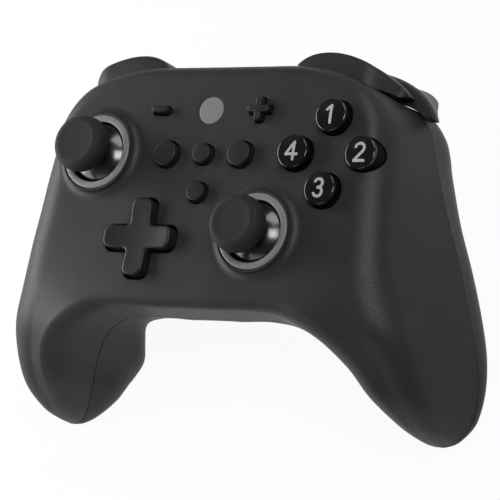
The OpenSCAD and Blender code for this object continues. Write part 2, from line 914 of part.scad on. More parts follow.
module trigger() {
    t = trigger_tip;
    color(shell_c)
    lift()
        difference() {
            union() {
                loft([
                    [-trigger_top, [[30.4, 29.4], [39, 29.8], [50, 26.8], [59, 19.8]],
                        [[30.4, 21], [40, 21], [50, 21], [57, 18.9]]],
                    [-trigger_top - 1.4, [[29.4, 30.6], [39, 31], [50.4, 27.8], [60, 19.6]],
                        [[29.4, 20.4], [40, 20.4], [50, 20.8], [57.6, 18.8]]],
                    [-26, [[29.4, 31], [39, 31.4], [50.5, 28], [58.8, 20]],
                        [[29.4, 22.4], [40, 22.8], [49, 22.6], [57.4, 20.3]]],
                    [-32, [[29.8, 31.2], [39, 32], [50.5, 29], [56.2, 21.6]],
                        [[29.8, 25.4], [40, 26.2], [48, 25.4], [55.2, 22.1]]],
                    [-38, [[31, 31.4], [39, 32.4], [49, 30.4], [53.4, 24.2]],
                        [[31, 27.6], [40, 28.6], [47, 27.6], [52.3, 24.2]]],
                    [2 - t, [[33, 32], [39.5, 33], [47, 31.6], [50, 27.6]],
                        [[33, 29], [40, 29.8], [45.6, 28.8], [48.9, 26.6]]],
                    [-t, [[35.4, 31.8], [40, 32.5], [45, 31.4], [46.8, 29.4]],
                        [[35.4, 30.4], [40, 31], [44.5, 30.1], [46.2, 28.7]]]]);
                translate([trigger_x0, trigger_y, -trigger_z])
                    rotate([0, 90, 0])
                        cylinder(r = trigger_hub, h = trigger_x1 - trigger_x0);
                block([trigger_x0, trigger_y, -trigger_z - 2.6], [trigger_x1, 21.4, -trigger_z + 1.4]);
            }
            translate([0, trigger_y, -trigger_z])
                rotate([0, 90, 0])
                    cylinder(r = trigger_pin_r + run, h = 80);
        }
}

module left_trigger() {
    left()
        trigger();
}

module right_trigger() {
    trigger();
}

// bracket that carries a trigger's pin and a bumper's pin
module shoulder_frame() {
    frame_x = bumper_hinge[0] - 2.3;
    color("#4a4a48")
    lift()
        difference() {
            union() {
                block([frame_x, 12.2, -25.6], [trigger_x1 + 2.6, 18.4, -24]);
                for (x = [trigger_x0 - 2.8, trigger_x1 + 0.6])
                    block([x, 12.8, -25.6], [x + 2, 19.2, -trigger_z + 3]);
                translate(bumper_hinge)
                    rod(2.3, -25.6, -bumper_low - 0.3);
                block([frame_x, 16, -25.6], [frame_x + 4.6, bumper_hinge[1], -24]);
            }
            translate([20, trigger_y, -trigger_z])
                rotate([0, 90, 0])
                    cylinder(r = trigger_pin_r + seat, h = 40);
            translate(bumper_hinge)
                rod(bumper_pin_r + seat, -24.6, 0);
        }
}

module left_shoulder_frame() {
    left()
        shoulder_frame();
}

module right_shoulder_frame() {
    shoulder_frame();
}

module trigger_pins() {
    color(metal_c)
    for (m = [0, 1])
        mirror([m, 0, 0])
            lift()
                translate([trigger_x0 - 3.2, trigger_y, -trigger_z])
                    rotate([0, 90, 0])
                        cylinder(r = trigger_pin_r, h = trigger_x1 - trigger_x0 + 6.2);
}

module bumper_pins() {
    color(metal_c)
    for (m = [0, 1])
        mirror([m, 0, 0])
            lift()
                translate(bumper_hinge)
                    rod(bumper_pin_r, -24.6, -bumper_top - 0.6);
}

// inside

board_half = [[7, 20.5], [7, 15.4], [48, 15.4], [54, 8], [54, -8], [48, -22], [36, -38], [24, -41]];
board_edge = [for (p = board_half) [p[0] * wide, p[1]]];

module main_board() {
    color(board_c)
    lift()
        difference() {
            translate([0, 0, -board_low])
                linear_extrude(board_t)
                    polygon(concat(board_edge, backwards([for (p = board_edge) [-p[0], p[1]]])));
            for (p = board_screw_at)
                translate([p[0], p[1]])
                    rod(1.3, -board_low - 1, -board_z + 1);
        }
}

module board_chips() {
    color("#18181a")
    lift()
        for (c = [[0, -8, 9, 9], [-14, -8, 5, 6], [13, -9, 7, 5], [28, -4, 5, 5], [-30, -18, 6, 4]])
            block([c[0] - c[2] / 2, c[1] - c[3] / 2, -board_low - seat - 1.2],
                [c[0] + c[2] / 2, c[1] + c[3] / 2, -board_low - seat]);
}

module battery() {
    color("#5a6b7d")
    translate([0, (hump_y0 + hump_y1) / 2, wall + seat])
        linear_extrude(battery_t)
            rounded2d(battery_w, battery_l, 3);
}

module usb_socket() {
    color(metal_c)
    at([0, 25.9])
        translate([0, 0, -board_z + 1.65])
            rotate([90, 0, 0]) {
                difference() {
                    linear_extrude(7.4)
                        slot2d(8.9, 3.2);
                    translate([0, 0, -1])
                        linear_extrude(7.4)
                            slot2d(8.3, 2.6);
                }
                translate([0, 0, 1])
                    linear_extrude(6)
                        square([6.6, 0.7], center = true);
            }
}

motor_x = 58.5 * wide;
motor_z = 28;

module motor() {
    color(metal_c)
    lift()
        translate([motor_x, -41, -motor_z])
            rotate([90, 0, 0])
                difference() {
                    cylinder(r = motor_r, h = 11);
                    translate([0, 0, 5])
                        cylinder(r = 1 + run, h = 10);
                }
}

module left_motor() {
    left()
        motor();
}

module right_motor() {
    motor();
}

module motor_weight() {
    color("#8f8a80")
    lift()
        translate([motor_x, -46.5, -motor_z])
            rotate([90, 0, 0]) {
                cylinder(r = 1, h = 12);
                translate([0, 0, 7])
                    difference() {
                        union() {
                            cylinder(r = weight_r, h = 5);
                            cylinder(r = 2.4, h = 5);
                        }
                        difference() {
                            translate([-20, 0, -1])
                                cube([40, 20, 8]);
                            translate([0, 0, -2])
                                cylinder(r = 2.4, h = 10);
                        }
                    }
            }
}

module left_motor_weight() {
    left()
        motor_weight();
}

module right_motor_weight() {
    motor_weight();
}

module shell_screws() {
    color(metal_c)
    for (p = shell_screw_at)
        at(p) {
            rod(2.6, -p[3] - 2, -p[3] - seat);
            rod(1.05, -p[3] - 1, -p[2] + 9);
        }
}

module board_screws() {
    color(metal_c)
    for (p = board_screw_at)
        at(p) {
            rod(2, -board_low - 1.3, -board_low - seat);
            rod(0.75, -board_low - 1, -board_z + 7.5);
        }
}

front_shell();
back_shell();
face_disc();
left_stick_ring();
right_stick_ring();
left_stick_cap();
right_stick_cap();
left_stick_dome();
right_stick_dome();
left_stick_post();
right_stick_post();
left_stick_yoke();
right_stick_yoke();
left_stick_housing();
right_stick_housing();
direction_pad();
pad_pivot_cup();
pad_stand();
pad_membrane();
button_a();
button_b();
button_x();
button_y();
face_button_membrane();
button_minus();
button_plus();
button_capture();
button_settings();
button_home();
button_extra();
system_membrane();
left_bumper();
right_bumper();
left_trigger();
right_trigger();
left_shoulder_frame();
right_shoulder_frame();
trigger_pins();
bumper_pins();
main_board();
board_chips();
battery();
usb_socket();
left_motor();
right_motor();
left_motor_weight();
right_motor_weight();
shell_screws();
board_screws();
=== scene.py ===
"""Looks of a two-handed game controller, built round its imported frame.

Meshes are drawn in millimetres with heights counted from the face plane, as in the part's source, and
turn into metres when an object is made. The controller lies on its back with the face up.
"""

from math import atan, cos, hypot, pi, radians, sin

import bmesh
import bpy
from mathutils import Matrix, Vector


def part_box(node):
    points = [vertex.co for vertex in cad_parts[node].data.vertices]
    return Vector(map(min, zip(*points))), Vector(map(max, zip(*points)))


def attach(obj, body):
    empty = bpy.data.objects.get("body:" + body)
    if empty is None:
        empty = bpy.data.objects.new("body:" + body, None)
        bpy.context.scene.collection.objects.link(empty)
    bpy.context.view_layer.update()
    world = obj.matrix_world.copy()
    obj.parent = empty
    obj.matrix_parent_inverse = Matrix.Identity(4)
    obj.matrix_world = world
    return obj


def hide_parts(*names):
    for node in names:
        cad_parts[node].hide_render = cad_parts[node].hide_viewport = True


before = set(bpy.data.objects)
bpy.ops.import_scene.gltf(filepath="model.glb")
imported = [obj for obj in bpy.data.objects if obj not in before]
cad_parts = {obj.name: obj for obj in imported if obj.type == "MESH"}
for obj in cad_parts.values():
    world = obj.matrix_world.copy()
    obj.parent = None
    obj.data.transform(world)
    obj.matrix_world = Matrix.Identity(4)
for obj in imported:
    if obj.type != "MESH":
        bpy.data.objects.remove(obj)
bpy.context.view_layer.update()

MM = 0.001
FACE = 50.0          # face plane above the floor
WALL = 2.0           # shell thickness
SEAM = 0.3           # open line between the two shells
GAP = 0.4            # gap round a button
RIM = 0.35           # rounding of a hole's rim

# sticks
COLLAR_R, COLLAR_H = 14.7, 2.2
RING_R, RING_W = 11.2, 2.0
CAP_R, CAP_TOP = 8.4, 13.5
NECK_R = 2.9
PIVOT_D, DOME_R, DOME_GAP = 9.0, 13.5, 0.5
DOME_LOW = 30        # the dome's edge, in degrees above its pivot
STICK_HOLE_R = 13.4

# controls on the face
BUTTON_R, BUTTON_RISE, A_DROP = 4.9, 3.6, 1.2
HOME_R, SMALL_R, SMALL_RISE = 3.75, 2.9, 2.2
KEY_CROWN, KEY_EDGE, KEY_FOOT = 0.4, 0.45, -9.0
NUMBER_H, NUMBER_LINE = 5.0, 0.85
BAR_W, MINUS_SPAN, PLUS_SPAN, SYSTEM_FOOT = 2.0, 5.6, 7.0, -6.0
PAD_SPAN, PAD_ARM, PAD_RISE, PAD_GAP = 23.0, 6.8, 2.9, 0.75
DISC_R = 4.1

# back and front edge
PORT_W, PORT_H = 9.5, 3.8
WELL_R = 2.9
SCREWS = [((13, 19), -24), ((-13, 19), -24), ((54, -36), -34), ((-54, -36), -34)]     # place and seat
HUMP_W, HUMP_NEAR, HUMP_FAR, HUMP_H, HUMP_CORNER = 62.0, -26.0, 17.5, 20.0, 7.0

# shoulders
SHOULDER_X, SHOULDER_Y, LIP = 21.6, 18.2, 4.6
BUMPER_LOW, TRIGGER_TIP = 17.0, 45.0
LIP_START, LIP_CURVE = 44, 0.12      # from here outwards the lip comes down, by this times the square
LIP_MOST, BUMPER_MOST = 12.0, 8.6    # the most that the lip and the bumper's top come down
HUB_X, HUB_Y, HUB_Z, HUB_R, HUB_BORE = (29.4, 44.0), 17.0, -20.0, 3.2, 1.55
BELOW = -FACE - 5                    # clear of the back, for cutters


def spot(node):
    """Middle of a node seen from above, in millimetres."""
    low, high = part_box(node)
    return (low[0] + high[0]) / 2 / MM, (low[1] + high[1]) / 2 / MM


LEFT_STICK, RIGHT_STICK = spot("left_stick_cap"), spot("right_stick_cap")
PAD = spot("direction_pad")
B_AT, X_AT, Y_AT = spot("button_b"), spot("button_x"), spot("button_y")
A_AT = (2 * B_AT[0] - Y_AT[0], Y_AT[1])
MINUS, PLUS = spot("button_minus"), spot("button_plus")
CAPTURE, HOME = spot("button_capture"), spot("button_home")
SETTINGS, EXTRA = spot("button_settings"), spot("button_extra")
DISC = spot("face_disc")


# materials

def shader(name):
    """New material with its node tree, its main shader and object coordinates."""
    mat = bpy.data.materials.new(name)
    mat.use_nodes = True
    tree = mat.node_tree
    main = tree.nodes["Principled BSDF"]
    place = tree.nodes.new("ShaderNodeTexCoord").outputs["Object"]
    return mat, tree, main, place


def noise(tree, place, scale, detail=3.0, stretch=None):
    """Noise of so many waves per metre, drawn out along one way if asked."""
    if stretch:
        mapping = tree.nodes.new("ShaderNodeMapping")
        mapping.inputs["Scale"].default_value = stretch
        tree.links.new(place, mapping.inputs["Vector"])
        place = mapping.outputs["Vector"]
    node = tree.nodes.new("ShaderNodeTexNoise")
    node.inputs["Scale"].default_value = scale
    node.inputs["Detail"].default_value = detail
    tree.links.new(place, node.inputs["Vector"])
    return node.outputs["Fac"]


def spread(tree, value, low, high):
    """Turns a noise value into a range of numbers."""
    node = tree.nodes.new("ShaderNodeMapRange")
    node.inputs["From Min"].default_value = 0.3
    node.inputs["From Max"].default_value = 0.7
    node.inputs["To Min"].default_value = low
    node.inputs["To Max"].default_value = high
    tree.links.new(value, node.inputs["Value"])
    return node.outputs["Result"]


def tint(tree, value, dark, light):
    """Colour that wanders between two near shades."""
    node = tree.nodes.new("ShaderNodeValToRGB")
    node.color_ramp.elements[0].position = 0.3
    node.color_ramp.elements[0].color = (*dark, 1)
    node.color_ramp.elements[1].position = 0.7
    node.color_ramp.elements[1].color = (*light, 1)
    tree.links.new(value, node.inputs["Fac"])
    return node.outputs["Color"]


def bump(tree, main, height, depth, strength):
    node = tree.nodes.new("ShaderNodeBump")
    node.inputs["Distance"].default_value = depth
    node.inputs["Strength"].default_value = strength
    tree.links.new(height, node.inputs["Height"])
    tree.links.new(node.outputs["Normal"], main.inputs["Normal"])


def finish(name, colour, rough, grain, depth, metal=0.0, specular=0.5, vary=0.12, coat=0.0, stretch=None):
    """Moulded, rubbed or brushed surface: a wandering shade, uneven roughness and a fine grain."""
    mat, tree, main, place = shader(name)
    main.inputs["Metallic"].default_value = metal
    main.inputs["Specular IOR Level"].default_value = specular
    main.inputs["Coat Weight"].default_value = coat
    cloud = noise(tree, place, 60.0)
    dark, light = ([c * (1 + d) for c in colour] for d in (-vary, vary))
    tree.links.new(tint(tree, cloud, dark, light), main.inputs["Base Color"])
    fine = noise(tree, place, grain, 4.0, stretch)
    tree.links.new(spread(tree, fine, rough - 0.06, rough + 0.06), main.inputs["Roughness"])
    bump(tree, main, fine, depth, 0.6)
    return mat


SHELL = finish("shell_plastic", (0.0155, 0.0155, 0.0137), 0.5, 1700, 0.00009, specular=0.22)
GLOSS = finish("button_plastic", (0.006, 0.006, 0.0062), 0.1, 240, 0.000006, specular=0.4)
# Key skirts: black plastic darkened further and made matt, as painted shade for the dark gap round each key.
PAINTED_SHADE_SKIRT = finish("skirt_painted_shade", (0.002, 0.002, 0.002), 0.7, 900, 0.00003, specular=0.05)
DOME = finish("dome_plastic", (0.006, 0.006, 0.0062), 0.2, 240, 0.000006, specular=0.5)
CONTROL = finish("control_plastic", (0.0105, 0.0105, 0.0098), 0.42, 1500, 0.00004, specular=0.22)
RUBBER = finish("cap_rubber", (0.0105, 0.0105, 0.0097), 0.7, 2200, 0.00006, specular=0.2)
TRIM = finish("trim_grey", (0.15, 0.15, 0.145), 0.45, 2600, 0.00006, metal=0.2, vary=0.08)
STEEL = finish("steel", (0.55, 0.55, 0.56), 0.32, 900, 0.00002, metal=1.0, vary=0.08, stretch=(1, 1, 0.08))
BRACKET = finish("bracket_plastic", (0.1, 0.1, 0.098), 0.55, 1500, 0.00005)
KEYPAD = finish("keypad_rubber", (0.2, 0.2, 0.205), 0.75, 1800, 0.00004, specular=0.3)
BOARD = finish("circuit_board", (0.02, 0.11, 0.045), 0.3, 700, 0.00003, vary=0.3, coat=0.4)
CHIP = finish("chip_plastic", (0.01, 0.01, 0.011), 0.5, 2400, 0.00003)
WRAP = finish("battery_wrap", (0.14, 0.19, 0.25), 0.22, 160, 0.0001, vary=0.08, coat=0.5)
PRINT = finish("printed_mark", (0.28, 0.28, 0.275), 0.5, 2600, 0.00002, vary=0.08, specular=0.3)


# outlines and meshes: lists of points and faces in millimetres

def arc(x, y, r, start, end, n=8):
    angles = [radians(start + (end - start) * i / n) for i in range(n + 1)]
    return [(x + r * cos(q), y + r * sin(q)) for q in angles]


def circle(r, n=72):
    return arc(0, 0, r, 0, 360 - 360 / n, n - 1)


def slot(w, h):
    e = (w - h) / 2
    return arc(e, 0, h / 2, -90, 90, 16) + arc(-e, 0, h / 2, 90, 270, 16)


def rounded(w, h, r):
    x, y = w / 2 - r, h / 2 - r
    return arc(x, -y, r, -90, 0) + arc(x, y, r, 0, 90) + arc(-x, y, r, 90, 180) + arc(-x, -y, r, 180, 270)


def cross(span, arm, tip, crotch):
    """Plus sign with rounded arm ends and filleted inner corners."""
    e, a = span / 2 - tip, arm / 2
    quarter = (arc(a + crotch, -a - crotch, crotch, 180, 90, 6) + arc(e, tip - a, tip, -90, 0, 6)
               + arc(e, a - tip, tip, 0, 90, 6))
    out = []
    for _ in range(4):
        out += quarter
        quarter = [(-y, x) for x, y in quarter]
    return out


def offset(points, d):
    """Outline moved outwards by d."""
    out = []
    for i, (x, y) in enumerate(points):
        a, b = points[i - 1], points[(i + 1) % len(points)]
        tx, ty = b[0] - a[0], b[1] - a[1]
        k = d / max(hypot(tx, ty), 1e-6)
        out.append((x + ty * k, y - tx * k))
    return out


def glide(a, b, c, d, f):
    """Number a share f of the way from b to c, on a smooth curve that also knows their neighbours."""
    return 0.5 * (2 * b + (c - a) * f + (2 * a - 5 * b + 4 * c - d) * f * f + (3 * b - a - 3 * c + d) * f ** 3)


def flow(points, n=5):
    """Smooth curve through points of any size."""
    ends = [points[0], *points, points[-1]]
    out = []
    for near in zip(ends, ends[1:], ends[2:], ends[3:]):
        for i in range(n):
            out.append([glide(*numbers, i / n) for numbers in zip(*near)])
    return out + [list(points[-1])]


def stack(rings, close=True):
    """Skin over rings of equal count, with a cap on both ends unless they stay open."""
    n = len(rings[0])
    verts = [tuple(p) for ring in rings for p in ring]
    faces = []
    for i in range(len(rings) - 1):
        for j in range(n):
            k = (j + 1) % n
            faces.append((i * n + j, i * n + k, (i + 1) * n + k, (i + 1) * n + j))
    if close:
        top = (len(rings) - 1) * n
        faces += [tuple(range(n - 1, -1, -1)), tuple(range(top, top + n))]
    return verts, faces


def lathe(profile, n=96, ring=False):
    """Turned form from (radius, height) points; a ring's profile closes on itself."""
    rows = [[(r * cos(2 * pi * i / n), r * sin(2 * pi * i / n), z) for i in range(n)] for r, z in profile]
    if ring:
        return stack(rows + rows[:1], close=False)
    return stack(rows)


def plate(outline, foot, top, edge, crown=0.0, rings=7):
    """Key with upright sides, a rounded edge and a top that is domed or, with a negative crown, dished."""
    reach = max(hypot(*p) for p in outline)
    levels = [(outline, foot, 0), (outline, top - edge, 1)]
    for i in range(1, 6):
        q = radians(18 * i)
        levels.append((offset(outline, -edge * (1 - cos(q))), top - edge * (1 - sin(q)), 1))
    inner = levels[-1][0]
    for i in range(rings - 1, 0, -1):
        levels.append(([(x * i / rings, y * i / rings) for x, y in inner], top, 1))
    rows = [[(x, y, z + on * crown * (1 - (hypot(x, y) / reach) ** 2)) for x, y in points]
            for points, z, on in levels]
    return stack(rows)


def flared(outline, foot, rim=RIM):
    """Cutter for a hole whose rim at the face is rounded."""
    top = 6.0
    rows = [[(x, y, foot) for x, y in outline]]
    for i in range(6):
        q = radians(18 * i)
        rows.append([(x, y, rim * (sin(q) - 1)) for x, y in offset(outline, rim * (1 - cos(q)))])
    rows.append([(x, y, top) for x, y in offset(outline, rim + 0.02)])
    return stack(rows)


def box(a, b):
    (x0, y0, z0), (x1, y1, z1) = a, b
    return stack([[(x0, y0, z), (x1, y0, z), (x1, y1, z), (x0, y1, z)] for z in (z0, z1)])


def moved(mesh, x=0.0, y=0.0, z=0.0):
    verts, faces = mesh
    return [(px + x, py + y, pz + z) for px, py, pz in verts], faces


def mirrored(mesh):
    verts, faces = mesh
    return [(-x, y, z) for x, y, z in verts], [tuple(reversed(f)) for f in faces]


def joined(*meshes):
    verts, faces = [], []
    for v, f in meshes:
        start = len(verts)
        verts += v
        faces += [tuple(i + start for i in face) for face in f]
    return verts, faces


def make(name, mesh):
    """Blender object from a millimetre mesh, with its faces turned outwards."""
    verts, faces = mesh
    data = bpy.data.meshes.new(name)
    data.from_pydata([(x * MM, y * MM, (z + FACE) * MM) for x, y, z in verts], [], faces)
    work = bmesh.new()
    work.from_mesh(data)
    bmesh.ops.remove_doubles(work, verts=work.verts, dist=1e-7)
    bmesh.ops.recalc_face_normals(work, faces=work.faces)
    work.to_mesh(data)
    work.free()
    obj = bpy.data.objects.new(name, data)
    bpy.context.scene.collection.objects.link(obj)
    return obj


def dress(obj, body, mat, replaces=(), sharp=38):
    """Shades a piece, and says what it rides on, stands for and is made of."""
    obj.data.materials.clear()
    obj.data.materials.append(mat)
    obj.data.shade_smooth()
    obj.data.set_sharp_from_angle(angle=radians(sharp))
    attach(obj, body)
    if replaces:
        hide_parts(*replaces)


def cut(obj, cutters):
    """Cuts a mesh out of an object for good."""
    tool = make(obj.name + "_cutter", cutters)
    mod = obj.modifiers.new("cut", "BOOLEAN")
    mod.operation = "DIFFERENCE"
    mod.solver = "EXACT"
    mod.object = tool
    graph = bpy.context.evaluated_depsgraph_get()
    data = bpy.data.meshes.new_from_object(obj.evaluated_get(graph))
    obj.modifiers.clear()
    obj.data = data
    bpy.data.objects.remove(tool)


# Shell sections of the right half, from the mid plane round to the grip's tip. Each row has the outer
# and inner seam points, the face height at both, the face edge's lean, width and depth at both,
# the back's height above the floor at both, and the back edge's lean, width and depth at both.
SECTIONS = [
    [0, 27, -15, 0, -46.2, -15, 0, 0, 0.05, 4, 4.5, 0, 3.4, 3.4,
     12, 22, 0.1, 8, 12, 0.1, 14, 11],
    [13, 27, -15, 2, -46.2, -15, 0, 0, 0.05, 4, 4.5, 0, 3.4, 3.4,
     12, 22, 0.1, 8, 12, 0.1, 14, 11],
    [26, 26.8, -15, 4, -46.2, -15, 0, 0, 0.05, 4, 4.5, 0, 3.5, 3.4,
     12, 22, 0.1, 8, 12, 0.1, 14, 11],
    [38.5, 25.2, -16.5, 6, -46.2, -15, 0, 0, 0.08, 5, 5, 0, 3.8, 3.4,
     12, 22, 0, 9, 12, 0.1, 14, 11],
    [50.2, 21.2, -19, 8, -46.2, -15, 0, 0, 0.15, 6, 5.5, 0, 4.2, 3.4,
     10, 22, -0.08, 10, 12, 0.1, 14, 11],
    [58.2, 13.8, -22, 10.5, -46.2, -15, 0, 0, 0.22, 8.4, 9.9, 0, 4.5, 3.4,
     8, 22, -0.1, 12, 13, 0.15, 14, 11],
    [61.4, 3, -25, 14, -46.1, -15, 0, 0, 0.22, 13.4, 11.2, 0, 5, 3.5,
     6, 22, -0.05, 13, 13, 0.2, 14, 11],
    [65.2, -10, -27.5, 19, -46.1, -15, 0, 0, 0.34, 12.6, 9, 0, 5.5, 4,
     4, 21, -0.05, 14, 13, 0.2, 14, 12],
    [69.8, -24, -31, 27.3, -46.8, -14.8, -0.3, -0.3, 0.4, 12, 10, 0.05, 6, 5,
     2, 16, -0.12, 14, 12, 0.05, 14, 15],
    [73.4, -37, -33.5, 34.3, -49.4, -16.8, -2, -1.2, 0.4, 14, 14, 0.1, 6, 6,
     0.5, 9, -0.2, 13, 11, -0.1, 11, 13],
    [76, -48, -36.5, 40.3, -53.6, -21, -5.5, -4, 0.38, 13, 14, 0.2, 6, 7,
     0, 2.5, -0.25, 13, 9.5, -0.2, 9.5, 11.5],
    [76.6, -57.5, -40, 46.2, -58.9, -28, -12, -10, 0.36, 11, 13, 0.15, 7, 10,
     0, 0, -0.25, 12, 7.5, -0.3, 8, 10],
    [74.6, -66, -43, 50.6, -65, -34, -20, -18, 0.3, 9, 12, 0.1, 6, 9,
     0, 0, -0.2, 9, 5.3, -0.4, 6.5, 8],
    [70.2, -71.3, -45, 55.3, -70, -40, -30, -29, 0.2, 5.5, 9, 0.05, 4.5, 7,
     1, 1, -0.1, 5.5, 3, -0.4, 4.5, 5],
    [66.6, -73.2, -45.8, 58.7, -72.5, -43.4, -37, -36.5, 0.1, 3.2, 5, 0, 3, 4.5,
     2, 2, 0, 3, 1.5, -0.2, 3, 3],
    [62.6, -74.3, -45.4, 62.6, -74.3, -45.4, -45.4, -45.4, 0, 0.1, 0.1, 0, 0.1, 0.1,
     4.6, 4.6, 0, 0.1, 0.1, 0, 0.1, 0.1],
]
LAST = len(SECTIONS) - 1
STEPS, WALL_N, EDGE_N, FLAT_N = 7, 5, 10, 14
INNER_END = 0.94     # the inner skin ends this share of the way to the tip
BLUNT = 14.45        # the grips end here, short of the last row's point
TIP_REACH = 0.3      # and their middle stands out this far there


def section_row(i):
    """Row of the table, mirrored past the mid plane and carried straight on past the tip."""
    if i < 0:
        return [-v if k in (0, 3) else v for k, v in enumerate(SECTIONS[-i])]
    if i > LAST:
        return [2 * a - b for a, b in zip(SECTIONS[LAST], SECTIONS[LAST - 1])]
    return SECTIONS[i]


def section_at(s):
    """Row at any place along the table."""
    k = min(int(s), LAST - 1)
    rows = [section_row(k + d) for d in (-1, 0, 1, 2)]
    return [glide(*numbers, s - k) for numbers in zip(*rows)]


def edge(h, lean, a, b):
    """Wall that leans in and rounds into the flat with an ellipse of a by b, as (inset, rise) points."""
    c = min(b, 0.9 * h)
    t = atan(lean * c / a)
    top = h - c + c * sin(t)
    reach = lean * top + a * cos(t)
    wall = [(reach - a * cos(t)) * i / WALL_N for i in range(1, WALL_N)]
    points = [(x, top * i / WALL_N) for i, x in enumerate(wall, 1)]
    for i in range(EDGE_N + 1):
        q = t + (pi / 2 - t) * i / EDGE_N
        points.append((reach - a * cos(q), h - c + c * sin(q)))
    return points


def outline_at(s, side):
    """One section's outline on the face side (1) or the back side (-1), from outer to inner seam."""
    r = section_at(abs(s))
    hand = -1 if s < 0 else 1
    w = max(hypot(r[3] - r[0], r[4] - r[1]), 0.001)
    dx, dy = (r[3] - r[0]) / w, (r[4] - r[1]) / w
    z_out, z_in, j = (r[6], r[7], 8) if side > 0 else (max(r[14], 0) - FACE, max(r[15], 0) - FACE, 16)
    outer = edge(abs(z_out - r[2]), *r[j:j + 3])
    inner = edge(abs(z_in - r[5]), *r[j + 3:j + 6])
    u0, u1 = outer[-1][0], w - inner[-1][0]
    flat = [(0, r[2] + side * SEAM / 2)]
    flat += [(u, r[2] + side * z) for u, z in outer]
    flat += [(u0 + (u1 - u0) * i / FLAT_N, z_out + (z_in - z_out) * i / FLAT_N) for i in range(1, FLAT_N)]
    flat += [(w - u, r[5] + side * z) for u, z in reversed(inner)]
    flat += [(w, r[5] + side * SEAM / 2)]
    return [Vector((hand * (r[0] + dx * u), r[1] + dy * u, z)) for u, z in flat]


def inset_at(s, side):
    """The section moved in by the wall, square to the surface."""
    here, before, after = (outline_at(s + d, side) for d in (0, -0.04, 0.04))
    last = len(here) - 1
    out = []
    for j, p in enumerate(here):
        along = here[min(j + 1, last)] - here[max(j - 1, 0)]
        normal = (after[j] - before[j]).cross(along)
        q = p + normal.normalized() * WALL * side
        out.append(Vector((q.x, q.y, p.z)) if j in (0, last) else q)
    return out


def shell(side):
    """Closed shell between an outer and an inner skin, drawn together at each grip's blunt tip."""
    half = LAST * STEPS
    spots = [i / STEPS for i in range(1 - half, half) if abs(i) <= BLUNT * STEPS]
    rows = [outline_at(s, side) for s in spots]
    inner = [inset_at(s * INNER_END, side) for s in spots]
    n, m = len(rows[0]), len(rows)
    verts = [tuple(p) for row in rows + inner for p in row]
    x, y, z = (rows[-1][0] + rows[-1][-1]) / 2
    y -= TIP_REACH
    verts += [(-x, y, z), (x, y, z), (-x, y + 1.5 * WALL, z), (x, y + 1.5 * WALL, z)]
    faces = []
    for i in range(m - 1):
        for skin in (0, m):
            a, b = (skin + i) * n, (skin + i + 1) * n
            faces += [(a + j, a + j + 1, b + j + 1, b + j) for j in range(n - 1)]
        for j in (0, n - 1):
            a, b = i * n + j, (m + i) * n + j
            faces.append((a, a + n, b + n, b))
    for row, tip in ((0, 0), (m - 1, 1)):
        for skin, point in ((0, 2 * m * n + tip), (m, 2 * m * n + 2 + tip)):
            a = (skin + row) * n
            faces += [(point, a + j, a + j + 1) for j in range(n - 1)]
        for j in (0, n - 1):
            faces.append((2 * m * n + tip, row * n + j, (m + row) * n + j, 2 * m * n + 2 + tip))
    return verts, faces


def lip_drop(x):
    """How far the lip over a bumper comes down towards the shell's corner."""
    return min(LIP_CURVE * max(0.0, x - LIP_START) ** 2, LIP_MOST)


def shoulder_cutters():
    """Room for the bumper and trigger of both sides, under the lip."""
    far_x, far_y = 75, 60
    top = [(x, -LIP - lip_drop(x)) for x in (SHOULDER_X, *range(LIP_START, LIP_START + 11), far_x)]
    outline = top + [(far_x, BELOW), (SHOULDER_X, BELOW)]
    right = stack([[(x, y, z) for x, z in outline] for y in (SHOULDER_Y, far_y)])
    return joined(right, mirrored(right))


def front_shell():
    holes = [moved(flared(circle(STICK_HOLE_R), -8, 0.05), *p) for p in (LEFT_STICK, RIGHT_STICK)]
    holes += [moved(flared(circle(BUTTON_R + GAP), KEY_FOOT), *p) for p in (B_AT, X_AT, Y_AT)]
    holes += [moved(flared(circle(BUTTON_R + GAP), KEY_FOOT, 0.1), *A_AT)]
    holes += [moved(flared(circle(HOME_R + GAP), SYSTEM_FOOT), *p) for p in (CAPTURE, HOME)]
    holes += [moved(flared(circle(SMALL_R + GAP), SYSTEM_FOOT), *p) for p in (SETTINGS, EXTRA)]
    minus = slot(MINUS_SPAN + 2 * GAP, BAR_W + 2 * GAP)
    plus = cross(PLUS_SPAN + 2 * GAP, BAR_W + 2 * GAP, 0.9, 0.35)
    pad = cross(PAD_SPAN + 2 * PAD_GAP, PAD_ARM + 2 * PAD_GAP, 2.6, 1.2)
    for outline, p in ((minus, MINUS), (plus, PLUS), (pad, PAD)):
        holes.append(moved(flared(outline, SYSTEM_FOOT), *p))
    holes += [moved(flared(circle(DISC_R + 0.05), -0.8, 0.1), *DISC)]
    low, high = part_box("usb_socket")
    port_z = (low[2] + high[2]) / 2 / MM - FACE
    inlet = stack([[(x, y, z + port_z) for x, z in offset(slot(PORT_W, PORT_H), flare)]
                   for y, flare in ((22, 0), (26.4, 0), (26.8, 0.25), (27.4, 0.9))])
    obj = make("front_shell_skin", shell(1))
    cut(obj, joined(*holes, inlet, shoulder_cutters()))
    dress(obj, "body", SHELL, ["front_shell"], 32)


def back_shell():
    wells = [moved(stack([[(x, y, z) for x, y in circle(WELL_R, 48)] for z in (BELOW, seat)]), *p)
             for p, seat in SCREWS]
    obj = make("back_shell_skin", shell(-1))
    cut(obj, joined(*wells, shoulder_cutters()))
    dress(obj, "body", SHELL, ["back_shell"], 32)
    verts, faces = plate(rounded(HUMP_W, HUMP_FAR - HUMP_NEAR, HUMP_CORNER), 0, HUMP_H, 1.6, rings=3)
    mid = (HUMP_NEAR + HUMP_FAR) / 2
    hump = make("battery_hump", ([(x, y + mid, HUMP_H - FACE - z) for x, y, z in verts], faces))
    dress(hump, "body", SHELL)


# sticks

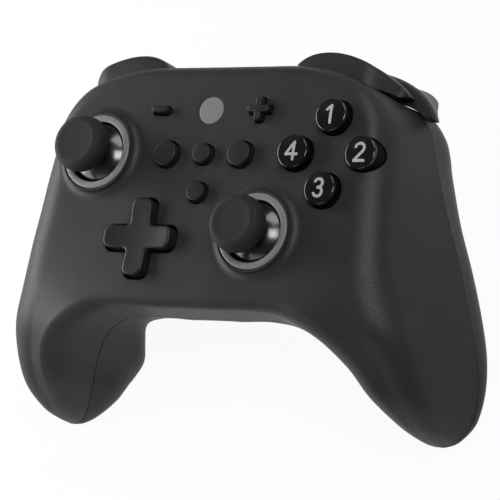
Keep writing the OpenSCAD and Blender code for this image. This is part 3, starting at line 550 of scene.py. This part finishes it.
def stick(side, at):
    """Collar and trim ring on the shell, and the grip with its dust dome on the cap's body."""
    seat = RING_R - RING_W + 0.4
    hollow = DOME_R + DOME_GAP
    under = [((hollow ** 2 - (z + PIVOT_D) ** 2) ** 0.5, z) for z in (-2, -1, 0, 1)]
    flare = [(COLLAR_R - (COLLAR_R - RING_R - 0.7) * sin(radians(q)), COLLAR_H * (1 - cos(radians(q))))
             for q in range(90, -1, -10)]
    collar = under + [(seat, 1.25), (seat, COLLAR_H - 0.6), (RING_R + 0.1, COLLAR_H - 0.6),
                      (RING_R + 0.1, COLLAR_H - 0.1), (RING_R + 0.25, COLLAR_H), *flare,
                      (COLLAR_R + 0.1, -0.6), (12.6, -2)]
    dress(make(side + "_stick_collar", moved(lathe(collar, 128, ring=True), *at)), "body",
          SHELL)

    a, b, top = RING_R - RING_W, RING_R, COLLAR_H + 0.25
    trim = [(a, top - 0.8), (a, top - 0.25), (a + 0.1, top - 0.08), (a + 0.3, top), (b - 0.2, top),
            (b - 0.06, top - 0.06), (b, top - 0.2), (b, top - 0.8)]
    dress(make(side + "_trim_ring", moved(lathe(trim, 128, ring=True), *at)), "body", TRIM,
          [side + "_stick_ring"], 50)

    t, c = CAP_TOP, CAP_R
    grip = flow([(0.01, t - 0.16), (c - 4.6, t - 0.12), (c - 3.0, t - 0.03), (c - 2.1, t), (c - 0.9, t - 0.45),
                 (c - 0.2, t - 1.6), (c, t - 3.2), (c - 0.2, t - 4.8), (c - 0.9, t - 5.7), (c - 3.6, t - 6.2),
                 (NECK_R + 0.7, t - 6.7), (NECK_R, t - 7.7), (NECK_R, 0.5)])
    dress(make(side + "_thumb_grip", moved(lathe(grip), *at)), side + "_thumb_cap", RUBBER,
          [side + "_stick_cap"], 60)

    thin = DOME_R - 1.2
    shade = [(DOME_R * cos(radians(q)), DOME_R * sin(radians(q)) - PIVOT_D) for q in range(DOME_LOW, 77, 2)]
    inner = [(thin * cos(radians(q)), thin * sin(radians(q)) - PIVOT_D) for q in range(74, DOME_LOW - 1, -4)]
    dress(make(side + "_dust_dome", moved(lathe(shade + inner, 128, ring=True), *at)), side + "_thumb_cap",
          DOME, [side + "_stick_dome"], 60)


# marks on the face buttons: plain numbers, as strokes in a box one unit high

GLYPHS = {
    "1": [[(-0.2, 0.27), (0.06, 0.5), (0.06, -0.5)]],
    "2": [arc(0, 0.22, 0.28, 165, -40, 14) + [(-0.3, -0.5), (0.32, -0.5)]],
    "3": [arc(-0.02, 0.245, 0.255, 155, -90, 14) + arc(-0.02, -0.24, 0.27, 85, -155, 14)],
    "4": [[(0.14, -0.5), (0.14, 0.5), (-0.34, -0.2), (0.36, -0.2)]],
}


def ribbon(points, width):
    """Flat stroke along a line, in short steps, with round ends."""
    fine = []
    for (x0, y0), (x1, y1) in zip(points, points[1:]):
        n = max(1, round(hypot(x1 - x0, y1 - y0) / 0.2))
        fine += [(x0 + (x1 - x0) * i / n, y0 + (y1 - y0) * i / n) for i in range(n)]
    fine.append(points[-1])
    verts, faces = [], []
    for (x0, y0), (x1, y1) in zip(fine, fine[1:]):
        start = len(verts)
        q = Vector((x1 - x0, y1 - y0)).normalized() * width / 2
        verts += [(x0 + q.y, y0 - q.x, 0), (x1 + q.y, y1 - q.x, 0),
                  (x1 - q.y, y1 + q.x, 0), (x0 - q.y, y0 + q.x, 0)]
        faces.append((start, start + 1, start + 2, start + 3))
    for x, y in (points[0], points[-1], *points[1:-1]):
        start = len(verts)
        verts += [(x + px, y + py, 0) for px, py in circle(width / 2, 16)]
        faces.append(tuple(range(start, start + 16)))
    return verts, faces


def face_button(letter, at, drop, number):
    """Glossy key, its skirt (near black, darker than the key's own plastic, as painted shade for the gap round
    it) and its number.
    """
    top = BUTTON_RISE - drop - KEY_CROWN
    body = "button_" + letter
    key = plate(circle(BUTTON_R), top - 0.9, top, KEY_EDGE, KEY_CROWN)
    dress(make(f"face_key_{number}", moved(key, *at)), body, GLOSS, [body], 50)
    skirt = plate(circle(BUTTON_R - 0.03), KEY_FOOT - 0.2, top - 0.8, 0.05)
    # The skirt's near-black colour is painted shade for the gap between the key and its hole.
    dress(make(f"key_skirt_{number}", moved(skirt, *at)), body, PAINTED_SHADE_SKIRT)
    lines = [[(x * NUMBER_H, y * NUMBER_H) for x, y in line] for line in GLYPHS[number]]
    strokes, faces = joined(*(ribbon(line, NUMBER_LINE) for line in lines))
    verts = [(x, y, top + KEY_CROWN * (1 - (hypot(x, y) / BUTTON_R) ** 2) + 0.02) for x, y, _ in strokes]
    mark = make(f"number_mark_{number}", moved((verts, faces), *at))
    dress(mark, body, PRINT)


def system_button(node, outline, at):
    """Bare key with a flange under the shell."""
    foot = -2.6
    top = plate(outline, foot, SMALL_RISE, 0.4, 0.08)
    flange = plate(offset(outline, 0.6), foot - 1, foot, 0.2)
    dress(make(node + "_key", moved(joined(top, flange), *at)), node, CONTROL, [node], 45)


def controls():
    for letter, at, drop, number in (("x", X_AT, 0, "1"), ("a", A_AT, A_DROP, "2"),
                                     ("b", B_AT, 0, "3"), ("y", Y_AT, 0, "4")):
        face_button(letter, at, drop, number)
    system_button("button_minus", slot(MINUS_SPAN, BAR_W), MINUS)
    system_button("button_plus", cross(PLUS_SPAN, BAR_W, 0.7, 0.3), PLUS)
    system_button("button_capture", circle(HOME_R), CAPTURE)
    system_button("button_home", circle(HOME_R), HOME)
    system_button("button_settings", circle(SMALL_R), SETTINGS)
    system_button("button_extra", circle(SMALL_R), EXTRA)

    pad = plate(cross(PAD_SPAN, PAD_ARM, 2.4, 1.4), -5, PAD_RISE, 0.7, -0.9, rings=12)
    skirt = plate(circle(PAD_SPAN / 2 + 2.1), -6, -4.5, 0.3)
    dress(make("direction_cross", moved(joined(pad, skirt), *PAD)), "pad", CONTROL,
          ["direction_pad"], 45)
    dress(make("face_badge", moved(plate(circle(DISC_R), -0.75, 0.15, 0.15, 0.06), *DISC)), "body",
          TRIM, ["face_disc"], 45)


# shoulders: forms between an outer and an inner curve at each of several levels

BUMPER_IN = [(22.2, 23.2), (27, 20.8), (44, 21.4), (53.4, 19.9)]
BUMPER = [
    (-LIP - 0.4, [(22.8, 26.4), (28.6, 33.2), (46.2, 28.4), (54.4, 20.3)], BUMPER_IN),
    (-LIP - 0.9, [(22.3, 27.3), (28.9, 34.5), (47.1, 29.4), (55.4, 20.2)], BUMPER_IN),
    (-LIP - 1.8, [(22.2, 27.6), (29, 35), (47.4, 29.8), (55.8, 20.1)], BUMPER_IN),
    (0.8 - BUMPER_LOW, [(22.2, 27.6), (29, 35.2), (47.6, 30), (56, 20)], BUMPER_IN),
    (-BUMPER_LOW, [(22.6, 27), (28.8, 34.2), (47.2, 29.2), (55.4, 20.1)], BUMPER_IN),
]
TRIGGER = [
    (-BUMPER_LOW - 1.2, [(30.4, 29.4), (39, 29.8), (56, 27.2), (61.4, 15.4)],
     [(30.4, 21), (40, 21), (53, 21.3), (59, 15.2)]),
    (-BUMPER_LOW - 2.6, [(29.4, 30.4), (39, 30.8), (57.2, 28.2), (62.4, 14.6)],
     [(29.4, 20.4), (40, 20.4), (53.8, 22), (59.7, 14.4)]),
    (-23, [(29.4, 30.6), (39, 31), (56.4, 28.4), (61.2, 15.4)],
     [(29.4, 21.4), (40, 21.6), (54.4, 24.2), (59.5, 15.6)]),
    (-26, [(29.4, 31), (39, 31.4), (54, 29), (58.8, 18)],
     [(29.4, 22.4), (40, 22.8), (52.6, 24.6), (57.7, 18.6)]),
    (-32, [(29.8, 31.2), (39, 32), (50, 29.8), (55, 21.8)],
     [(29.8, 25.4), (40, 26.2), (47.4, 25.8), (54, 22.2)]),
    (-38, [(31, 31.4), (39, 32.4), (48, 30.8), (51.6, 24.8)],
     [(31, 27.6), (40, 28.6), (46, 28), (50.6, 24.8)]),
    (2 - TRIGGER_TIP, [(33, 32), (39.5, 33), (45.6, 31.8), (48.4, 28)],
     [(33, 29), (40, 29.8), (44.6, 29), (47.4, 27)]),
    (-TRIGGER_TIP, [(35.4, 31.8), (40, 32.5), (44, 31.5), (45.6, 29.6)],
     [(35.4, 30.4), (40, 31), (43.6, 30.1), (45, 28.9)]),
]


def bezier(p, n=28):
    out = []
    for i in range(n + 1):
        t, q = i / n, 1 - i / n
        k = (q ** 3, 3 * q * q * t, 3 * q * t * t, t ** 3)
        out.append(tuple(sum(w * c[a] for w, c in zip(k, p)) for a in (0, 1)))
    return out


def loft(levels, steps):
    """Form through levels, with ends laid as strips between the two curves."""
    numbers = flow([[z, *(v for p in outer + inner for v in p)] for z, outer, inner in levels], steps)
    rows = []
    for z, *v in numbers:
        points = list(zip(v[0::2], v[1::2]))
        rows.append([(x, y, z) for x, y in bezier(points[:4]) + bezier(points[4:])[::-1]])
    verts, faces = stack(rows, close=False)
    n = len(rows[0])
    for start in (0, len(verts) - n):
        faces += [(start + j, start + j + 1, start + n - 2 - j, start + n - 1 - j) for j in range(n // 2 - 1)]
    return verts, faces


def under_lip(mesh):
    """Bumper whose top comes down towards its outer end, as the lip above it does."""
    verts, faces = mesh
    high = BUMPER_LOW - LIP - 0.4
    return [(x, y, z - min(lip_drop(x), BUMPER_MOST) * (z + BUMPER_LOW) / high) for x, y, z in verts], faces


def tube_x(x0, x1, y, z, r, bore):
    """Hub along X with a bore."""
    soft = 0.3
    profile = ((x0, bore), (x0, r - soft), (x0 + soft, r),
               (x1 - soft, r), (x1, r - soft), (x1, bore), (x0, bore))
    return stack([[(x, y + k * py, z + k * pz) for py, pz in circle(1, 48)] for x, k in profile], close=False)


def shoulders():
    bumper = under_lip(loft(BUMPER, 3))
    x0, x1 = HUB_X
    trigger = joined(loft(TRIGGER, 6), tube_x(x0, x1, HUB_Y, HUB_Z, HUB_R, HUB_BORE),
                     box((x0, 18.6, -22.6), (x1, 22.2, -18.9)))
    for side, turn in (("right", lambda m: m), ("left", mirrored)):
        for name, mesh in (("bumper", bumper), ("trigger", trigger)):
            piece = make(f"{side}_{name}_skin", turn(mesh))
            bevel = piece.modifiers.new("soft_edges", "BEVEL")
            bevel.width = 0.45 * MM
            bevel.segments = 3
            bevel.limit_method = "ANGLE"
            bevel.angle_limit = radians(50)
            dress(piece, f"{side}_{name}", SHELL, [f"{side}_{name}"], 60)


# what stays as the frame has it

INSIDE = {
    STEEL: ["left_stick_post", "right_stick_post", "left_stick_yoke", "right_stick_yoke", "left_stick_housing",
            "right_stick_housing", "pad_pivot_cup", "trigger_pins", "bumper_pins", "usb_socket", "left_motor",
            "right_motor", "left_motor_weight", "right_motor_weight", "shell_screws", "board_screws"],
    BRACKET: ["left_shoulder_frame", "right_shoulder_frame", "pad_stand"],
    KEYPAD: ["pad_membrane", "face_button_membrane", "system_membrane"],
    BOARD: ["main_board"],
    CHIP: ["board_chips"],
    WRAP: ["battery"],
}


def inside():
    for mat, nodes in INSIDE.items():
        for node in nodes:
            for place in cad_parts[node].material_slots:
                place.material = mat


# stage

def floor():
    """Pale floor, plain white to the camera and to gloss, that still takes the object's shadow."""
    mat = bpy.data.materials.new("floor_paper")
    mat.use_nodes = True
    tree = mat.node_tree
    tree.nodes.clear()
    out = tree.nodes.new("ShaderNodeOutputMaterial")
    paper = tree.nodes.new("ShaderNodeBsdfDiffuse")
    paper.inputs["Color"].default_value = (0.62, 0.62, 0.62, 1)
    glow = tree.nodes.new("ShaderNodeEmission")
    glow.inputs["Color"].default_value = (1, 1, 1, 1)
    path = tree.nodes.new("ShaderNodeLightPath")
    seen = path.outputs["Is Camera Ray"]
    for other in ("Is Glossy Ray", "Is Transmission Ray"):
        either = tree.nodes.new("ShaderNodeMath")
        either.operation = "MAXIMUM"
        tree.links.new(seen, either.inputs[0])
        tree.links.new(path.outputs[other], either.inputs[1])
        seen = either.outputs[0]
    share = tree.nodes.new("ShaderNodeMath")
    share.operation = "MULTIPLY"
    share.inputs[1].default_value = 0.94
    tree.links.new(seen, share.inputs[0])
    mix = tree.nodes.new("ShaderNodeMixShader")
    tree.links.new(share.outputs[0], mix.inputs["Fac"])
    tree.links.new(paper.outputs[0], mix.inputs[1])
    tree.links.new(glow.outputs[0], mix.inputs[2])
    tree.links.new(mix.outputs[0], out.inputs["Surface"])
    data = bpy.data.meshes.new("floor")
    half, low = 6.0, -0.0003
    corners = [(-half, -half, low), (half, -half, low), (half, half, low), (-half, half, low)]
    data.from_pydata(corners, [], [(0, 1, 2, 3)])
    data.materials.append(mat)
    obj = bpy.data.objects.new("floor", data)
    bpy.context.scene.collection.objects.link(obj)


AIM = Vector((0.0, -0.02, 0.045))
LAMPS = {            # direction from the controller, distance, width, height and watts
    "far_box": ((0.32, 0.70, 0.64), 0.9, 0.5, 0.36, 3.6),
    "near_spot": ((0.54, 0.12, 0.83), 1.0, 0.35, 0.35, 6.5),
    "left_box": ((-0.95, 0.05, 0.3), 1.0, 0.9, 0.5, 9),
    "top_card": ((-0.5, 0.55, 0.7), 1.2, 0.6, 0.4, 0.1),
    "side_card": ((-0.93, -0.12, 0.36), 0.19, 0.24, 0.08, 0.24),
    "low_card": ((-0.15, -0.86, 0.48), 1.0, 0.7, 0.5, 2.2),
}


def lamp(name, direction, distance, wide, tall, watts):
    """Soft box that looks at the controller from a direction."""
    light = bpy.data.lights.new(name, "AREA")
    light.shape = "RECTANGLE"
    light.size, light.size_y, light.energy = wide, tall, watts
    obj = bpy.data.objects.new(name, light)
    way = Vector(direction).normalized()
    turn = way.to_track_quat("Z", "Y").to_matrix().to_4x4()
    obj.matrix_world = Matrix.Translation(AIM + way * distance) @ turn
    bpy.context.scene.collection.objects.link(obj)


def studio():
    for name, setting in LAMPS.items():
        lamp(name, *setting)
    world = bpy.data.worlds.new("studio")
    world.use_nodes = True
    sky = world.node_tree.nodes["Background"]
    sky.inputs["Color"].default_value = (1, 1, 1, 1)
    sky.inputs["Strength"].default_value = 0.06
    bpy.context.scene.world = world
    bpy.context.scene.view_settings.view_transform = "Standard"


def camera():
    """Long lens at the photo's viewing angle."""
    eye = Vector((0.4415, -0.1983, 0.6973))
    right, up, back = (0.8457, 0.1572, -0.5100), (-0.0197, 0.9642, 0.2646), (0.5333, -0.2138, 0.8185)
    data = bpy.data.cameras.new("camera")
    data.sensor_width, data.lens = 36.0, 202.2
    obj = bpy.data.objects.new("camera", data)
    turn = Matrix((right, up, back)).transposed().to_4x4()
    obj.matrix_world = Matrix.Translation(eye) @ turn
    bpy.context.scene.collection.objects.link(obj)
    bpy.context.scene.camera = obj


camera()
front_shell()
back_shell()
stick("left", LEFT_STICK)
stick("right", RIGHT_STICK)
controls()
shoulders()
inside()
floor()
studio()
